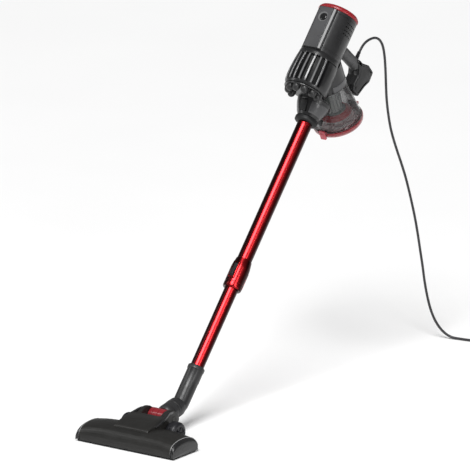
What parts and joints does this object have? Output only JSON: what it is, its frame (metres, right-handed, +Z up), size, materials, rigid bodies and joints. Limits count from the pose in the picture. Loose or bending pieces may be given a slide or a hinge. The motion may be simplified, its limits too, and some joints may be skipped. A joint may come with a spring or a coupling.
{
  "type": "upright vacuum cleaner",
  "caption": "Corded stick vacuum cleaner: hand unit with clear dust cup, red telescopic wand and wide floor head on a swivelling neck.",
  "frame": {"origin": "middle of the floor head's sole, on the floor", "axes": "-Y is the way the floor head faces, +X is to the right when looking along +Y, +Z is up; the wand leans back towards +Y"},
  "size_m": [0.4356, 1.2716, 0.8808],
  "materials": {
    "dark_shell": "satin",
    "grey_shell": "satin",
    "pale_panel": "satin",
    "black_plastic": "matte",
    "red_tube": "gloss",
    "red_trim": "gloss",
    "brush_fibre": "matte",
    "wheel_rubber": "matte",
    "soft_rubber": "matte",
    "steel": "satin",
    "clear_cup": "gloss",
    "red_lid": "gloss",
    "latch_red": "gloss",
    "core_grey": "satin",
    "filter_felt": "matte",
    "cord_black": "matte"
  },
  "bodies": {
    "main_unit": {"neck_ring": "black_plastic", "inlet_neck": "dark_shell", "neck_panels": "pale_panel", "mid_frame": "dark_shell", "inlet_duct": "black_plastic", "cyclone_cones": "grey_shell", "cyclone_can": "black_plastic", "cyclone_cover": "grey_shell", "side_covers": "dark_shell", "motor_housing": "dark_shell", "deck_panel": "pale_panel", "switch_body": "black_plastic", "motor_can": "steel", "motor_mounts": "soft_rubber", "cup_collar": "dark_shell", "saddle_panels": "pale_panel", "filter_core": "core_grey", "core_skirt": "red_trim", "handle_left": "grey_shell", "handle_right": "grey_shell", "handle_screws": "steel", "cord_gland": "soft_rubber", "cord_tube": "cord_black", "cord_coil": "cord_black", "plug_body": "cord_black", "plug_pins": "steel"},
    "power_button": {"power_button": "pale_panel"},
    "fan": {"motor_rotor": "steel", "impeller": "black_plastic"},
    "lock_ring": {"lock_ring": "red_trim"},
    "exhaust_cap": {"exhaust_cap": "grey_shell", "exhaust_filter": "filter_felt"},
    "wand_release": {"wand_release_button": "black_plastic"},
    "cup_release": {"cup_release_button": "black_plastic"},
    "dust_cup": {"dust_cup": "clear_cup", "cup_seal": "soft_rubber", "lid_hinge_pin": "steel"},
    "cup_lid": {"cup_lid": "red_lid", "lid_seal": "soft_rubber"},
    "lid_latch": {"lid_latch": "latch_red"},
    "upper_tube": {"outer_tube": "red_tube", "tube_clamp": "red_tube", "guide_sleeve": "black_plastic"},
    "tube_latch": {"tube_latch": "black_plastic"},
    "lower_tube": {"inner_tube": "red_tube", "tube_stop": "black_plastic"},
    "neck": {"neck_elbow": "grey_shell"},
    "head_release": {"head_release_button": "black_plastic"},
    "swivel": {"pivot_barrel": "red_trim", "swivel_stub": "grey_shell"},
    "floor_head": {"head_shell": "dark_shell", "head_fairing": "grey_shell", "head_end_caps": "black_plastic", "head_sole": "black_plastic", "brush_strips": "brush_fibre", "sole_screws": "steel", "wheel_axles": "steel", "barrel_pins": "steel"},
    "wheel_left": {"wheel_left": "wheel_rubber"},
    "wheel_right": {"wheel_right": "wheel_rubber"}
  },
  "joints": [
    {"name": "power_press", "type": "slide", "parent": "main_unit", "child": "power_button", "axis": [0, 0.7524, -0.6587], "range_m": [0, 0.002], "stiffness_N_per_m": 600},
    {"name": "fan_spin", "type": "hinge", "parent": "main_unit", "child": "fan", "pos_m": [0, 0.72671, 0.77611], "axis": [0, 0.6587, 0.7524], "continuous": true},
    {"name": "lock_ring_twist", "type": "hinge", "parent": "main_unit", "child": "lock_ring", "pos_m": [0, 0.786, 0.84383], "axis": [0, 0.6587, 0.7524], "range_deg": [0, 25]},
    {"name": "exhaust_cap_lift", "type": "slide", "parent": "main_unit", "child": "exhaust_cap", "axis": [0, 0.6587, 0.7524], "range_m": [0, 0.05]},
    {"name": "wand_release_press", "type": "slide", "parent": "main_unit", "child": "wand_release", "axis": [0, 0.7524, -0.6587], "range_m": [0, 0.0022], "stiffness_N_per_m": 600},
    {"name": "cup_release_press", "type": "slide", "parent": "main_unit", "child": "cup_release", "axis": [0, -0.7524, 0.6587], "range_m": [0, 0.0022], "stiffness_N_per_m": 600},
    {"name": "cup_pull_off", "type": "slide", "parent": "main_unit", "child": "dust_cup", "axis": [0, 0.4035, -0.915], "range_m": [0, 0.13]},
    {"name": "lid_open", "type": "hinge", "parent": "dust_cup", "child": "cup_lid", "pos_m": [0, 0.84439, 0.6263], "axis": [1, 0, 0], "range_deg": [0, 100]},
    {"name": "lid_latch_press", "type": "hinge", "parent": "dust_cup", "child": "lid_latch", "pos_m": [0, 0.72531, 0.58034], "axis": [-1, 0, 0], "range_deg": [0, 12], "stiffness_Nm_per_rad": 0.3},
    {"name": "wand_pull_out", "type": "slide", "parent": "main_unit", "child": "upper_tube", "axis": [0, -0.6587, -0.7524], "range_m": [0, 0.06]},
    {"name": "tube_latch_slide", "type": "slide", "parent": "upper_tube", "child": "tube_latch", "axis": [0, -0.6587, -0.7524], "range_m": [0, 0.006], "stiffness_N_per_m": 400},
    {"name": "wand_telescope", "type": "slide", "parent": "upper_tube", "child": "lower_tube", "axis": [0, -0.6587, -0.7524], "range_m": [-0.17, 0.137]},
    {"name": "head_pull_off", "type": "slide", "parent": "lower_tube", "child": "neck", "axis": [0, -0.6587, -0.7524], "range_m": [0, 0.05]},
    {"name": "head_release_press", "type": "slide", "parent": "neck", "child": "head_release", "axis": [0, -0.7524, 0.6587], "range_m": [0, 0.0018], "stiffness_N_per_m": 600},
    {"name": "neck_roll", "type": "hinge", "parent": "neck", "child": "swivel", "pos_m": [0, 0.14424, 0.05468], "axis": [0, 0.9848, 0.1736], "range_deg": [-90, 90]},
    {"name": "head_pitch", "type": "hinge", "parent": "swivel", "child": "floor_head", "pos_m": [0, 0.095, 0.046], "axis": [1, 0, 0], "range_deg": [-60, 12]},
    {"name": "wheel_left_spin", "type": "hinge", "parent": "floor_head", "child": "wheel_left", "pos_m": [-0.064, 0.062, 0.0272], "axis": [1, 0, 0], "continuous": true},
    {"name": "wheel_right_spin", "type": "hinge", "parent": "floor_head", "child": "wheel_right", "pos_m": [0.064, 0.062, 0.0272], "axis": [1, 0, 0], "continuous": true}
  ]
}
